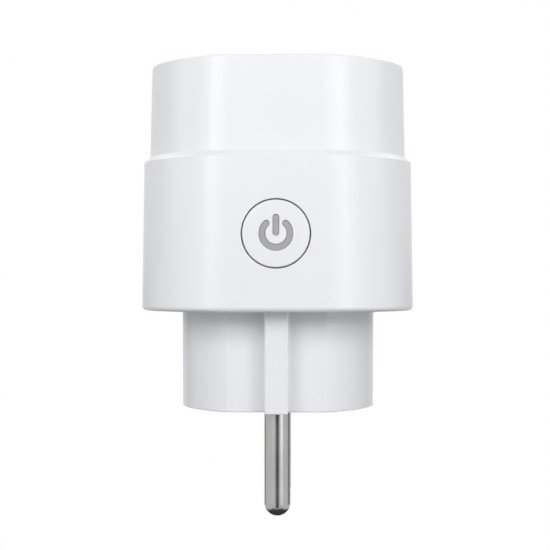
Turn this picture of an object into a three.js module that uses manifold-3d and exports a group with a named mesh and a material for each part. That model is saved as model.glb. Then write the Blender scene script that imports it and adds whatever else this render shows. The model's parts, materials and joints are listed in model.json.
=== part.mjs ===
// Plug-in power meter: a metering smart plug for an earthed round-pin socket outlet.
//
// The bottom is a round plug with two pins, the top is a matching socket recess, and the
// housing between them holds the meter: a main board with a relay, a shunt and a metering
// chip, and an upright control board behind the front button.
//
// Frame: millimetres, +Z up. The origin is the centre of the plug's contact face, the pins
// point down along -Z, and the button looks towards -Y.

import * as THREE from 'three';
import { mergeVertices } from 'three/addons/utils/BufferGeometryUtils.js';
import Module from 'manifold-3d';

const wasm = await Module();
wasm.setup();

// ---------------------------------------------------------------- driving dimensions

const GAP = 0.3;                     // clearance between neighbouring pieces
const WALL = 1.6;                    // wall of the housing and of the cover

const PIN_RADIUS = 2.4;              // plug pins, 4.8 mm across
const PIN_REACH = 19.5;               // how far a pin stands out of the contact face
const PIN_OFFSET = 9.5;              // each pin's distance from the centre, along Y

const BOSS_RADIUS = 18.2;            // round part of the plug
const BOSS_FLAT = 15.9;              // its two flats, front and back
const BOSS_WALL = 1.7;
const FACE_THICKNESS = 2.2;          // the contact face that carries the pins
const RIB_REACH = 17.8;              // guide ribs on the flats
const RIB_HALF = 2.13;

const BODY_BOTTOM = 18;              // underside of the housing
const SHOULDER_LOW = 44.85;          // where the housing's chamfer starts
const SHOULDER_HIGH = 45.9;          // where it meets the cover
const TOP = 62.5;                    // rim of the cover

const HALF_BODY_BOTTOM = 24.8;       // half-widths of the rounded square outline
const HALF_SHOULDER_LOW = 24.4;
const HALF_SHOULDER_HIGH = 23.35;
const HALF_TOP = 23.0;
const BOTTOM_FILLET = 0.9;
const RIM_FILLET = 0.55;

// The outline's quarter, for a half-width of 24.8: a flat, a tight blend arc, the wide
// corner arc, and the blend arc again.
const OUTLINE_HALF = 24.8;
const OUTLINE_FLAT = 8.54;
const BLEND_RADIUS = 11.65;
const BLEND_ANGLE = 0.355;

const WELL_RADIUS = 19.5;            // socket recess
const WELL_WALL = 1.4;
const WELL_DEPTH = 17.5;
const WELL_FLOOR = 1.8;
const WELL_FLAT = 16.4;
const WELL_GROOVE_HALF = 2.7;
const WELL_GROOVE_REACH = 18.3;
const PIN_HOLE_RADIUS = 3.1;

const BUTTON_Z = 31.5;
const BUTTON_HOLE_RADIUS = 6.02;
const BUTTON_RADIUS = 5.78;
const SYMBOL_RADIUS = 2.39;          // middle of the power symbol's arc
const SYMBOL_GAP_ANGLE = 0.77;       // half of the arc's opening at the top
const SYMBOL_BAR_TOP = 3.29;
const SYMBOL_BAR_BOTTOM = -0.38;
const SYMBOL_SLOT = 1.5;             // stroke of the slot in the cap
const SYMBOL_STROKE = SYMBOL_SLOT - 2 * GAP;

const STRIP = 0.7;                   // thickness of the earth strips
const STRIP_WIDTH = 5.5;
const STRIP_SLOT = [-3.3, 3.3];      // width of the slots and recesses that the strips lie in
const CLIP_SLOT_TOP = 60.8;

const FLANGE_RADIUS = 19.5;          // the plug base's flange inside the housing
const BOARD_RADIUS = 20.8;
const BOARD_BOTTOM = 22.9;
const BOARD_THICKNESS = 1.6;

// ---------------------------------------------------------------- levels worked out from them

const WELL_FLOOR_TOP = TOP - WELL_DEPTH;
const WELL_FLOOR_BOTTOM = WELL_FLOOR_TOP - WELL_FLOOR;
const WELL_OUTER = WELL_RADIUS + WELL_WALL;
const BODY_FLOOR = BODY_BOTTOM + WALL;
const FLANGE_BOTTOM = BODY_FLOOR + GAP;
const FLANGE_TOP = FLANGE_BOTTOM + 1.4;
const BOARD_TOP = BOARD_BOTTOM + BOARD_THICKNESS;
const ON_BOARD = BOARD_TOP + GAP;

// Half-width of the housing's drafted front face at the button's height.
const DRAFT = (HALF_BODY_BOTTOM - HALF_SHOULDER_LOW) / (SHOULDER_LOW - BODY_BOTTOM);
const FRONT = HALF_BODY_BOTTOM - DRAFT * (BUTTON_Z - BODY_BOTTOM);

const SCREW_POST_OFFSET = 16.33;     // case screws, on the diagonals
const SCREW_POST_RADIUS = 1.9;
const SCREW_BOSS_RADIUS = 3.2;
const SCREW_BOSS_TOP = 21.6;
const SCREW_SEAT = 20;

const CORNERS = [[1, 1], [-1, 1], [-1, -1], [1, -1]];
const BOARD_SCREWS = [[13, -11.0], [-10.2, 13.6]];

// ---------------------------------------------------------------- solids

// Turns a closed three.js geometry into a solid. A profile that ran the other way round
// gives an inside-out mesh, so its triangles are turned when the volume is negative.
function solid(geometry) {
  geometry.deleteAttribute('normal');
  geometry.deleteAttribute('uv');
  const merged = mergeVertices(geometry, 1e-4);
  const points = merged.attributes.position.array;
  const corners = Array.from(merged.index.array);
  const keep = [];
  let volume = 0;
  const a = new THREE.Vector3();
  const b = new THREE.Vector3();
  const c = new THREE.Vector3();
  for (let i = 0; i < corners.length; i += 3) {
    const [p, q, r] = corners.slice(i, i + 3);
    if (p === q || q === r || r === p) continue;
    keep.push(p, q, r);
    a.fromArray(points, 3 * p);
    b.fromArray(points, 3 * q);
    c.fromArray(points, 3 * r);
    volume += a.dot(b.cross(c));
  }
  if (volume < 0) keep.reverse();
  return new wasm.Manifold(new wasm.Mesh({
    numProp: 3,
    vertProperties: new Float32Array(points),
    triVerts: new Uint32Array(keep),
  }));
}

function join(first, ...others) {
  return others.reduce((sum, next) => sum.add(next), first);
}

function cut(first, ...tools) {
  return tools.reduce((rest, tool) => rest.subtract(tool), first);
}

function block([x0, x1], [y0, y1], [z0, z1]) {
  const box = new THREE.BoxGeometry(x1 - x0, y1 - y0, z1 - z0);
  box.translate((x0 + x1) / 2, (y0 + y1) / 2, (z0 + z1) / 2);
  return solid(box);
}

function rod(radius, [z0, z1], [x, y] = [0, 0], sides = 32) {
  const cylinder = new THREE.CylinderGeometry(radius, radius, z1 - z0, sides);
  cylinder.rotateX(Math.PI / 2);
  cylinder.translate(x, y, (z0 + z1) / 2);
  return solid(cylinder);
}

function rodAlongY(radius, [y0, y1], [x, z], sides = 32) {
  const cylinder = new THREE.CylinderGeometry(radius, radius, y1 - y0, sides);
  cylinder.translate(x, (y0 + y1) / 2, z);
  return solid(cylinder);
}

// A profile of [radius, height] points, from axis to axis, turned about +Z.
function turned(profile, [x, y] = [0, 0], sides = 24) {
  const points = profile.map(([radius, height]) => new THREE.Vector2(radius, height));
  const lathe = new THREE.LatheGeometry(points, sides);
  lathe.rotateX(Math.PI / 2);
  lathe.translate(x, y, 0);
  return solid(lathe);
}

// The housing's plan at half-width 1: four flats joined by corners of three arcs each.
function housingOutline() {
  const flat = OUTLINE_FLAT / OUTLINE_HALF;
  const tight = BLEND_RADIUS / OUTLINE_HALF;
  const sine = Math.sin(BLEND_ANGLE);
  const cosine = Math.cos(BLEND_ANGLE);
  const wide = (1 - flat - tight * (1 + sine - cosine)) / (cosine - sine);
  const shape = new THREE.Shape();
  for (let side = 0; side < 4; side += 1) {
    const turn = side * Math.PI / 2;
    const arcs = [
      [flat, 1 - tight, tight, 0, BLEND_ANGLE],
      [flat + (tight - wide) * sine, 1 - tight + (tight - wide) * cosine, wide,
        BLEND_ANGLE, Math.PI / 2 - BLEND_ANGLE],
      [1 - tight, flat, tight, Math.PI / 2 - BLEND_ANGLE, Math.PI / 2],
    ];
    for (const [cx, cy, radius, from, to] of arcs) {
      const x = cx * Math.cos(turn) + cy * Math.sin(turn);
      const y = cy * Math.cos(turn) - cx * Math.sin(turn);
      const start = Math.PI / 2 - from - turn;
      shape.absarc(x, y, radius, start, start - (to - from), true);
    }
  }
  return shape;
}

// The outline extruded through [height, half-width] levels.
function draftedBlock(levels) {
  const depth = levels.length - 1;
  const extruded = new THREE.ExtrudeGeometry(housingOutline(), {
    depth,
    steps: depth,
    curveSegments: 2,
    bevelEnabled: false,
  });
  const position = extruded.attributes.position;
  for (let i = 0; i < position.count; i += 1) {
    const [height, half] = levels[Math.round(position.getZ(i))];
    position.setXYZ(i, position.getX(i) * half, position.getY(i) * half, height);
  }
  return solid(extruded);
}

// Levels of a quarter-round edge from one [height, half-width] corner.
function filletLevels(height, half, radius, up) {
  const steps = 2;
  const levels = [];
  for (let i = 0; i <= steps; i += 1) {
    const angle = (i / steps) * Math.PI / 2;
    const inward = radius * (1 - Math.cos(angle));
    const along = radius * (1 - Math.sin(angle));
    levels.push([height - up * along, half - inward]);
  }
  return up > 0 ? levels : levels.reverse();
}

// Rounds the corners of a route of [x, z] points with short curves.
function roundedRoute(points, radius) {
  const corners = points.map(([x, z]) => new THREE.Vector2(x, z));
  const route = [corners[0]];
  for (let i = 1; i < corners.length - 1; i += 1) {
    const before = corners[i - 1].clone().sub(corners[i]).setLength(radius).add(corners[i]);
    const after = corners[i + 1].clone().sub(corners[i]).setLength(radius).add(corners[i]);
    route.push(...new THREE.QuadraticBezierCurve(before, corners[i], after).getPoints(3));
  }
  route.push(corners.at(-1));
  return route;
}

// A flat strip of metal bent along a route in the XZ plane, centred on y.
function bentStrip(points, thickness, width, y = 0, radius = 0.6) {
  const route = roundedRoute(points, radius);
  const left = [];
  const right = [];
  route.forEach((point, i) => {
    const into = point.clone().sub(route[Math.max(i - 1, 0)]);
    const out = route[Math.min(i + 1, route.length - 1)].clone().sub(point);
    const along = into.normalize().add(out.normalize()).normalize();
    const side = new THREE.Vector2(-along.y, along.x).multiplyScalar(thickness / 2);
    left.push(point.clone().add(side));
    right.unshift(point.clone().sub(side));
  });
  const strip = new THREE.ExtrudeGeometry(new THREE.Shape([...left, ...right]), {
    depth: width,
    bevelEnabled: false,
  });
  strip.rotateX(Math.PI / 2);
  strip.translate(0, y + width / 2, 0);
  return solid(strip);
}

// The stretch between two distances from the middle, on the positive or negative side.
function across(side, near, far) {
  return [Math.min(side * near, side * far), Math.max(side * near, side * far)];
}

function mirroredX(points) {
  return points.map(([x, z]) => [-x, z]);
}

// ---------------------------------------------------------------- scene graph

const meter = new THREE.Group();

const FINISHES = {
  shell: [0xefeff2, 0.38, 0],
  insert: [0xe9e9ec, 0.45, 0],
  translucent: [0xb4b5b8, 0.3, 0],
  nickel: [0xc2c0ba, 0.22, 1],
  brass: [0xc9a45c, 0.3, 1],
  steel: [0x9fa1a4, 0.35, 1],
  board: [0x1f5b3a, 0.5, 0],
  black: [0x1d1e20, 0.55, 0],
  blue: [0x3a63a8, 0.45, 0],
  yellow: [0xd9b23c, 0.45, 0],
  copper: [0xb36a3c, 0.35, 1],
  smoke: [0x2b3036, 0.35, 0],
};

function add(name, shape, finish) {
  const { vertProperties, triVerts, numProp } = shape.getMesh();
  const geometry = new THREE.BufferGeometry();
  const position = new Float32Array((vertProperties.length / numProp) * 3);
  for (let i = 0; i < position.length / 3; i += 1) {
    position.set(vertProperties.subarray(i * numProp, i * numProp + 3), 3 * i);
  }
  geometry.setAttribute('position', new THREE.BufferAttribute(position, 3));
  geometry.setIndex(Array.from(triVerts));
  geometry.computeVertexNormals();
  const [color, roughness, metalness] = FINISHES[finish];
  const mesh = new THREE.Mesh(geometry, new THREE.MeshStandardMaterial({
    color, roughness, metalness,
  }));
  mesh.name = name;
  meter.add(mesh);
}

// ---------------------------------------------------------------- shells

// The round plug's outline: a disc with two flats and a guide rib on each flat.
function bossBlock([z0, z1], shrink) {
  const radius = BOSS_RADIUS - shrink;
  const flat = BOSS_FLAT - shrink;
  const disc = rod(radius, [z0, z1], [0, 0], 48);
  return disc.intersect(block([-radius - 1, radius + 1], [-flat, flat], [z0 - 1, z1 + 1]));
}

function ribs([z0, z1], grow) {
  const half = RIB_HALF + grow;
  const reach = RIB_REACH + grow;
  return block([-half, half], [-reach, reach], [z0, z1]);
}

function mainHousing() {
  const outer = draftedBlock([
    ...filletLevels(BODY_BOTTOM, HALF_BODY_BOTTOM, BOTTOM_FILLET, -1),
    [SHOULDER_LOW, HALF_SHOULDER_LOW],
    [SHOULDER_HIGH, HALF_SHOULDER_HIGH],
  ]);
  const inner = draftedBlock([
    [BODY_FLOOR, HALF_BODY_BOTTOM - WALL],
    [SHOULDER_LOW, HALF_SHOULDER_LOW - WALL],
    [SHOULDER_HIGH + 1, HALF_SHOULDER_LOW - WALL],
  ]);
  const through = [BODY_BOTTOM - 1, BODY_FLOOR + 1];
  const plugOpening = join(bossBlock(through, -GAP), ribs(through, GAP));
  const buttonHole = rodAlongY(BUTTON_HOLE_RADIUS, [-FRONT - 2, -FRONT + 3], [0, BUTTON_Z], 40);
  let housing = cut(outer, inner, plugOpening, buttonHole);
  for (const [sx, sy] of CORNERS) {
    const at = [sx * SCREW_POST_OFFSET, sy * SCREW_POST_OFFSET];
    housing = join(housing, rod(SCREW_BOSS_RADIUS, [BODY_BOTTOM + 0.5, SCREW_BOSS_TOP], at, 16));
    housing = cut(housing, rod(2.6, [BODY_BOTTOM - 1, SCREW_SEAT], at, 16));
    housing = cut(housing, rod(1.5, [BODY_BOTTOM, SCREW_BOSS_TOP + 1], at, 12));
  }
  return housing;
}

function socketCover() {
  const lower = SHOULDER_HIGH + GAP;
  const roof = TOP - 1.5;
  const outer = draftedBlock([
    [lower, HALF_SHOULDER_HIGH],
    ...filletLevels(TOP, HALF_TOP, RIM_FILLET, 1),
  ]);
  const tongue = draftedBlock([[43.4, 22.4], [lower + 0.5, 22.4]]);
  const inner = draftedBlock([
    [43, HALF_SHOULDER_HIGH - WALL - 0.3],
    [lower, HALF_SHOULDER_HIGH - WALL - 0.3],
    [roof, HALF_TOP - WALL],
  ]);
  const mouth = rod(WELL_OUTER + GAP, [roof - 1, TOP + 1], [0, 0], 48);
  let cover = cut(join(outer, tongue), inner, mouth);
  for (const [sx, sy] of CORNERS) {
    const at = [sx * SCREW_POST_OFFSET, sy * SCREW_POST_OFFSET];
    const post = rod(SCREW_POST_RADIUS, [SCREW_BOSS_TOP + GAP, roof + 0.5], at, 12);
    const bore = rod(1.4, [SCREW_BOSS_TOP - 1, 31], at, 10);
    cover = cut(join(cover, post), bore);
  }
  return cover;
}

function socketWell() {
  const above = TOP + 1;
  const body = rod(WELL_OUTER, [WELL_FLOOR_BOTTOM, TOP], [0, 0], 48);
  const round = rod(WELL_RADIUS, [WELL_FLOOR_TOP, above], [0, 0], 48);
  const between = block([-WELL_OUTER, WELL_OUTER], [-WELL_FLAT, WELL_FLAT], [WELL_FLOOR_TOP, above]);
  const grooves = block(
    [-WELL_GROOVE_HALF, WELL_GROOVE_HALF],
    [-WELL_GROOVE_REACH, WELL_GROOVE_REACH],
    [WELL_FLOOR_TOP, above],
  );
  const post = rod(1.7, [39, WELL_FLOOR_BOTTOM + 0.5], [0, 0], 20);
  let well = join(cut(body, round.intersect(between), grooves), post);
  for (const side of [-1, 1]) {
    const hole = rod(PIN_HOLE_RADIUS, [40, WELL_FLOOR_TOP + 1], [0, side * PIN_OFFSET], 32);
    const slot = block(across(side, 19.2, 22), STRIP_SLOT, [WELL_FLOOR_BOTTOM - 1, CLIP_SLOT_TOP]);
    well = cut(well, hole, slot);
  }
  return well;
}

function plugBase() {
  const outer = join(bossBlock([0, FLANGE_TOP], 0), ribs([0, FLANGE_BOTTOM], 0));
  const flange = rod(FLANGE_RADIUS, [FLANGE_BOTTOM, FLANGE_TOP], [0, 0], 48);
  const hollow = bossBlock([FACE_THICKNESS, FLANGE_TOP + 1], BOSS_WALL);
  let base = cut(join(outer, flange), hollow);
  for (const [x, y] of BOARD_SCREWS) {
    const post = rod(2.2, [FLANGE_BOTTOM, BOARD_BOTTOM - GAP], [x, y], 20);
    base = cut(join(base, post), rod(1.2, [17.6, BOARD_BOTTOM], [x, y], 16));
  }
  for (const side of [-1, 1]) {
    const backing = block(across(side, 14.4, 16.4), [-4.6, 4.6], [0.5, 12.6]);
    const recess = block(across(side, 16.2, 18), STRIP_SLOT, [-1, 17.3]);
    const window = block(across(side, 13.8, 18), STRIP_SLOT, [12.6, 17.3]);
    const pinHole = rod(PIN_RADIUS + GAP, [-1, FACE_THICKNESS + 1], [0, side * PIN_OFFSET], 32);
    base = cut(join(base, backing), recess, window, pinHole);
  }
  const earthPinHole = rod(3.1, [-1, FACE_THICKNESS + 1], [10, 0], 32);
  return cut(base, earthPinHole);
}

add('main_housing', mainHousing(), 'shell');
add('socket_cover', socketCover(), 'shell');
add('socket_well', socketWell(), 'insert');
add('plug_base', plugBase(), 'shell');

// ---------------------------------------------------------------- button

// The power symbol's arc and bar, standing in the XZ plane at the button's height.
function powerSymbol(stroke, [y0, y1]) {
  const half = stroke / 2;
  const start = Math.PI / 2 + SYMBOL_GAP_ANGLE;
  const end = Math.PI / 2 - SYMBOL_GAP_ANGLE + 2 * Math.PI;
  const arc = new THREE.Shape();
  arc.absarc(0, 0, SYMBOL_RADIUS + half, start, end, false);
  arc.absarc(
    SYMBOL_RADIUS * Math.cos(end), SYMBOL_RADIUS * Math.sin(end),
    half, end, end + Math.PI, false,
  );
  arc.absarc(0, 0, SYMBOL_RADIUS - half, end, start, true);
  arc.absarc(
    SYMBOL_RADIUS * Math.cos(start), SYMBOL_RADIUS * Math.sin(start),
    half, start + Math.PI, start + 2 * Math.PI, false,
  );
  const bar = new THREE.Shape();
  bar.absarc(0, SYMBOL_BAR_TOP - SYMBOL_SLOT / 2, half, 0, Math.PI, false);
  bar.absarc(0, SYMBOL_BAR_BOTTOM + SYMBOL_SLOT / 2, half, Math.PI, 2 * Math.PI, false);
  return [arc, bar].map((shape) => {
    const plate = new THREE.ExtrudeGeometry(shape, {
      depth: y1 - y0,
      bevelEnabled: false,
      curveSegments: 4,
    });
    plate.rotateX(Math.PI / 2);
    plate.translate(0, y1, BUTTON_Z);
    return solid(plate);
  });
}

const BUTTON_FACE = 1.0;             // thickness of the cap's front wall
const BUTTON_CENTRE = [0, BUTTON_Z];

function buttonCap() {
  const barrel = rodAlongY(BUTTON_RADIUS, [-FRONT - 1, -22.7], BUTTON_CENTRE, 40);
  const skin = draftedBlock([
    [BODY_BOTTOM, HALF_BODY_BOTTOM],
    [SHOULDER_LOW, HALF_SHOULDER_LOW],
  ]);
  const collar = rodAlongY(6.9, [-22.7, -21.9], BUTTON_CENTRE, 40);
  const hollow = rodAlongY(BUTTON_RADIUS - 0.9, [-FRONT + BUTTON_FACE, -21], BUTTON_CENTRE, 32);
  const symbol = powerSymbol(SYMBOL_SLOT, [-FRONT - 1, -FRONT + BUTTON_FACE + 1]);
  return cut(join(barrel.intersect(skin), collar), hollow, ...symbol);
}

function symbolLightGuide() {
  const back = -FRONT + BUTTON_FACE + GAP;
  const disc = rodAlongY(BUTTON_RADIUS - 1.3, [back, back + 0.7], BUTTON_CENTRE, 32);
  const stem = rodAlongY(1.4, [back + 0.5, -21.75], BUTTON_CENTRE, 16);
  return join(disc, stem, ...powerSymbol(SYMBOL_STROKE, [-FRONT + 0.18, back + 0.2]));
}

const SWITCH_FRONT = -20.9;
const CONTROL_FRONT = -18;

function tactSwitch() {
  const body = block([-3, 3], [SWITCH_FRONT, CONTROL_FRONT - GAP], [BUTTON_Z - 3, BUTTON_Z + 3]);
  return cut(body, rodAlongY(2.0, [SWITCH_FRONT - 1, -19.2], BUTTON_CENTRE, 24));
}

add('button_cap', buttonCap(), 'shell');
add('symbol_light_guide', symbolLightGuide(), 'translucent');
add('tact_switch', tactSwitch(), 'black');
add('tact_plunger', rodAlongY(1.7, [-21.45, -20.1], BUTTON_CENTRE, 24), 'insert');

// ---------------------------------------------------------------- pins and live parts

function plugPin(y) {
  const profile = [[0, -PIN_REACH]];
  const steps = 5;
  for (let i = 1; i <= steps; i += 1) {
    const angle = (i / steps) * Math.PI / 2;
    const height = -PIN_REACH + PIN_RADIUS * (1 - Math.cos(angle));
    profile.push([PIN_RADIUS * Math.sin(angle), height]);
  }
  const collar = FACE_THICKNESS + GAP;
  profile.push([PIN_RADIUS, collar], [3.3, collar], [3.3, 3.9], [1.4, 3.9], [1.4, 6.2], [0, 6.2]);
  return turned(profile, [0, y], 24);
}

// A foot round the pin's rivet tail and a blade that rises through the main board.
function pinRiser(side) {
  const foot = block([-2.8, 2.8], across(side, 6.8, 13.3), [4.2, 4.9]);
  const blade = block([-2.8, 2.8], across(side, 12.6, 13.3), [4.2, 25.4]);
  return cut(join(foot, blade), rod(1.7, [3, 6], [0, side * PIN_OFFSET], 16));
}

// A split sleeve that grips the pin of the plug pushed into the socket.
function contactSleeve(side) {
  const y = side * PIN_OFFSET;
  const tube = cut(rod(3.3, [27.5, 40.6], [0, y], 28), rod(2.55, [20, 42], [0, y], 28));
  const slit = block([-5, 5], [y - 0.5, y + 0.5], [31, 42]);
  const inner = y - side * 2.93;
  const tail = block([-1.6, 1.6], [inner - 0.35, inner + 0.35], [21.9, 28.5]);
  return join(cut(tube, slit), tail);
}

// One strip makes the earth contact on the plug's side and the spring clip in the recess.
const EARTH_ROUTE = [
  [16.8, 1.0],
  [16.95, 3.2],
  [16.95, 13.4],
  [14.75, 15.6],
  [14.75, 22.0],
  [20.4, 22.0],
  [20.4, 47.6],
  [17.3, 53.8],
  [17.3, 56.2],
  [19.9, 60.3],
];

for (const [name, side] of [['line', -1], ['neutral', 1]]) {
  add(`${name}_pin`, plugPin(side * PIN_OFFSET), 'nickel');
  add(`${name}_riser`, pinRiser(side), 'brass');
  add(`${name}_sleeve`, contactSleeve(side), 'brass');
}
add('earth_strip_left', bentStrip(mirroredX(EARTH_ROUTE), STRIP, STRIP_WIDTH, 0, 0.9), 'nickel');
add('earth_strip_right', bentStrip(EARTH_ROUTE, STRIP, STRIP_WIDTH, 0, 0.9), 'nickel');
add('earth_bridge', block([-14.1, 14.1], [-2, 2], [17.8, 18.5]), 'brass');
add('earth_pin_sleeve', cut(
  cut(rod(3.3, [2.6, 17.4], [10, 0], 28), rod(2.55, [2, 18], [10, 0], 28)),
  block([6, 14], [-0.5, 0.5], [2, 12]),
), 'brass');

// ---------------------------------------------------------------- shutter and carrier

function contactCarrier() {
  let carrier = block([-6, 6], [-12, 12], [36.6, 38.4]);
  for (const side of [-1, 1]) {
    carrier = join(carrier, rod(4.5, [28, 40.3], [0, side * PIN_OFFSET], 28));
  }
  for (const side of [-1, 1]) {
    carrier = cut(carrier, rod(3.6, [20, 42], [0, side * PIN_OFFSET], 28));
    carrier = cut(carrier, block([-2.2, 2.2], [side * 6.57 - 1, side * 6.57 + 1], [27, 29.2]));
  }
  return carrier;
}

function shutterBlade() {
  const level = [41.2, 42.8];
  const arms = block([-3.8, 3.8], [-13.4, 13.4], level);
  const ramps = [-1, 1].map((side) => block([-3.8, -2.2], [side * 9.5 - 2.4, side * 9.5 + 2.4], [42.4, 43]));
  const hub = rod(4.2, level, [0, 0], 28);
  return cut(join(arms, hub, ...ramps), rod(2.0, [40, 44], [0, 0], 20));
}

// A short coil of spring wire round the shutter's post.
class Coil extends THREE.Curve {
  constructor(radius, low, high, turns) {
    super();
    this.radius = radius;
    this.low = low;
    this.high = high;
    this.turns = turns;
  }

  getPoint(t, target = new THREE.Vector3()) {
    const angle = 2 * Math.PI * this.turns * t;
    const height = this.low + (this.high - this.low) * t;
    return target.set(this.radius * Math.cos(angle), this.radius * Math.sin(angle), height);
  }
}

function shutterSpring() {
  const wire = new THREE.Shape();
  wire.absarc(0, 0, 0.25, 0, 2 * Math.PI, false);
  return solid(new THREE.ExtrudeGeometry(wire, {
    extrudePath: new Coil(2.7, 39.1, 40.6, 2),
    steps: 20,
    curveSegments: 2,
    bevelEnabled: false,
  }));
}

add('contact_carrier', contactCarrier(), 'insert');
add('shutter', shutterBlade(), 'shell');
add('shutter_spring', shutterSpring(), 'steel');

// ---------------------------------------------------------------- boards

function mainBoard() {
  const level = [BOARD_BOTTOM, BOARD_TOP];
  const through = [BOARD_BOTTOM - 1, BOARD_TOP + 1];
  let board = rod(BOARD_RADIUS, level, [0, 0], 64);
  for (const side of [-1, 1]) {
    board = cut(
      board,
      block(across(side, 19.7, 22), [-3.2, 3.2], through),
      block([-3.1, 3.1], across(side, 12.3, 13.6), through),
      block([-1.9, 1.9], across(side, 5.9, 7.3), through),
    );
  }
  for (const at of BOARD_SCREWS) board = cut(board, rod(1.3, through, at, 16));
  return board;
}

const CONTROL_BACK = CONTROL_FRONT + 1;

add('main_board', mainBoard(), 'board');
add('control_board', block([-9, 9], [CONTROL_FRONT, CONTROL_BACK], [ON_BOARD, 42.4]), 'board');
add('board_header', block([-6.5, 6.5], [CONTROL_BACK + GAP, -14.6], [ON_BOARD, 27.2]), 'black');
add('status_led', block([-0.8, 0.8], [-19.1, CONTROL_FRONT - GAP], [35.2, 36.0]), 'translucent');
add('wireless_board', block([-6.3, 6.3], [-16.7, -15.9], [28.4, 41.4]), 'blue');
add('wireless_shield', block([-5.6, 5.6], [-15.6, -14.4], [29, 38]), 'steel');

// ---------------------------------------------------------------- relay

const RELAY_X = [7.1, 17.7];
const RELAY_Y = [-8.3, 10.3];
const RELAY_TOP = 40.2;
const RELAY_BASE_TOP = ON_BOARD + 1.5;
const COIL_X = 12.4;
const COIL_Z = 31.8;
const RELAY_HINGE_Z = 37.1;

function relayCase() {
  const inset = 0.8;
  const outer = block(RELAY_X, RELAY_Y, [RELAY_BASE_TOP + GAP, RELAY_TOP]);
  const inner = block(
    [RELAY_X[0] + inset, RELAY_X[1] - inset],
    [RELAY_Y[0] + inset, RELAY_Y[1] - inset],
    [RELAY_BASE_TOP, RELAY_TOP - inset],
  );
  return cut(outer, inner);
}

function relayBobbin() {
  const core = rodAlongY(1.9, [-5.9, 5.0], [COIL_X, COIL_Z], 24);
  const flanges = [[-5.9, -5.0], [4.1, 5.0]].map((span) => rodAlongY(4.2, span, [COIL_X, COIL_Z], 28));
  return join(core, ...flanges);
}

function relayWinding() {
  const span = [-4.7, 3.8];
  return cut(
    rodAlongY(3.8, span, [COIL_X, COIL_Z], 28),
    rodAlongY(2.2, [span[0] - 1, span[1] + 1], [COIL_X, COIL_Z], 24),
  );
}

function relayYoke() {
  const back = block([9.6, 15.2], [-7.0, -6.2], [27.2, 37.1]);
  return join(back, block([9.6, 15.2], [-7.0, 5.2], [36.4, 37.1]));
}

add('relay_base', block(RELAY_X, RELAY_Y, [ON_BOARD, RELAY_BASE_TOP]), 'smoke');
add('relay_case', relayCase(), 'smoke');
add('relay_bobbin', relayBobbin(), 'insert');
add('relay_winding', relayWinding(), 'copper');
add('relay_yoke', relayYoke(), 'steel');
add('relay_armature', block([9.6, 15.2], [5.9, 6.6], [27.4, RELAY_HINGE_Z]), 'steel');
add('relay_contact_leaf', block([9.0, 16.7], [6.9, 7.25], [29.2, 36.2]), 'copper');
add('relay_fixed_contact', block([15.6, 16.6], [5.7, 6.35], [RELAY_BASE_TOP + GAP, 31.4]), 'copper');

// ---------------------------------------------------------------- parts on the main board

function axialFuse() {
  const body = rodAlongY(1.3, [4.4, 10.6], [-8.2, 26.6], 20);
  const bands = [[4.0, 5.4], [9.6, 11.0]].map((span) => rodAlongY(1.5, span, [-8.2, 26.6], 20));
  return join(body, ...bands);
}

// An electrolytic can: a rounded foot, the crimp groove, the sleeve and the flat top.
function electrolytic(radius, height, at) {
  const low = ON_BOARD;
  return turned([
    [0, low],
    [radius - 0.3, low],
    [radius, low + 0.3],
    [radius, low + 1.0],
    [radius - 0.3, low + 1.3],
    [radius - 0.3, low + 1.7],
    [radius, low + 2.0],
    [radius, low + height - 0.4],
    [radius - 0.4, low + height],
    [0, low + height],
  ], at, 18);
}

const CHOKE = [-9.2, 0];

function chokeCore() {
  const low = ON_BOARD;
  return turned([
    [0, low],
    [2.7, low],
    [2.7, low + 1.2],
    [1.2, low + 1.2],
    [1.2, low + 6.8],
    [2.7, low + 6.8],
    [2.7, low + 8],
    [0, low + 8],
  ], CHOKE, 16);
}

function chokeWinding() {
  const span = [ON_BOARD + 1.5, ON_BOARD + 6.5];
  return cut(rod(2.5, span, CHOKE, 24), rod(1.5, [span[0] - 1, span[1] + 1], CHOKE, 20));
}

const SHUNT_ROUTE = [[-10.2, ON_BOARD], [-10.2, 28.2], [-5.5, 28.2], [-5.5, ON_BOARD]];

add('film_capacitor', block([-19.1, -12.8], [-6.3, 6.3], [ON_BOARD, 36.4]), 'yellow');
add('reservoir_capacitor', electrolytic(3.9, 12.5, [-12.2, -11.6]), 'blue');
add('output_capacitor', electrolytic(2.5, 9, [-15.2, 10.8]), 'black');
add('choke_core', chokeCore(), 'black');
add('choke_winding', chokeWinding(), 'copper');
add('fuse_resistor', axialFuse(), 'blue');
add('varistor', rodAlongY(4.5, [16.8, 19.4], [0, 29.4], 28), 'blue');
add('bridge_rectifier', block([5.2, 9.8], [13.2, 17.0], [ON_BOARD, 26.7]), 'black');
add('regulator_chip', block([4.0, 8.9], [-14.0, -10.8], [ON_BOARD, 26.4]), 'black');
add('metering_chip', block([-4.9, 4.9], [-1.9, 1.9], [ON_BOARD, 26.3]), 'black');
add('shunt_resistor', bentStrip(SHUNT_ROUTE, 0.7, 1.8, 16.8, 0.8), 'copper');

// ---------------------------------------------------------------- screws

// A pan-head self-tapping screw standing on its head or on its point, with a three-sided
// driver recess in the head.
function screw([x, y], seat, headRadius, headHeight, shankRadius, length, up) {
  const profile = [
    [0, -headHeight],
    [headRadius - 0.4, -headHeight],
    [headRadius, -headHeight + 0.5],
    [headRadius, 0],
    [shankRadius, 0],
    [shankRadius, length - 1],
    [0, length],
  ].map(([radius, height]) => [radius, seat + up * height]);
  const outside = seat - up * (headHeight + 1);
  const inside = seat - up * (headHeight - 0.8);
  const recess = rod(headRadius * 0.55, [Math.min(outside, inside), Math.max(outside, inside)], [x, y], 3);
  return cut(turned(profile, [x, y], 14), recess);
}

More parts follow.
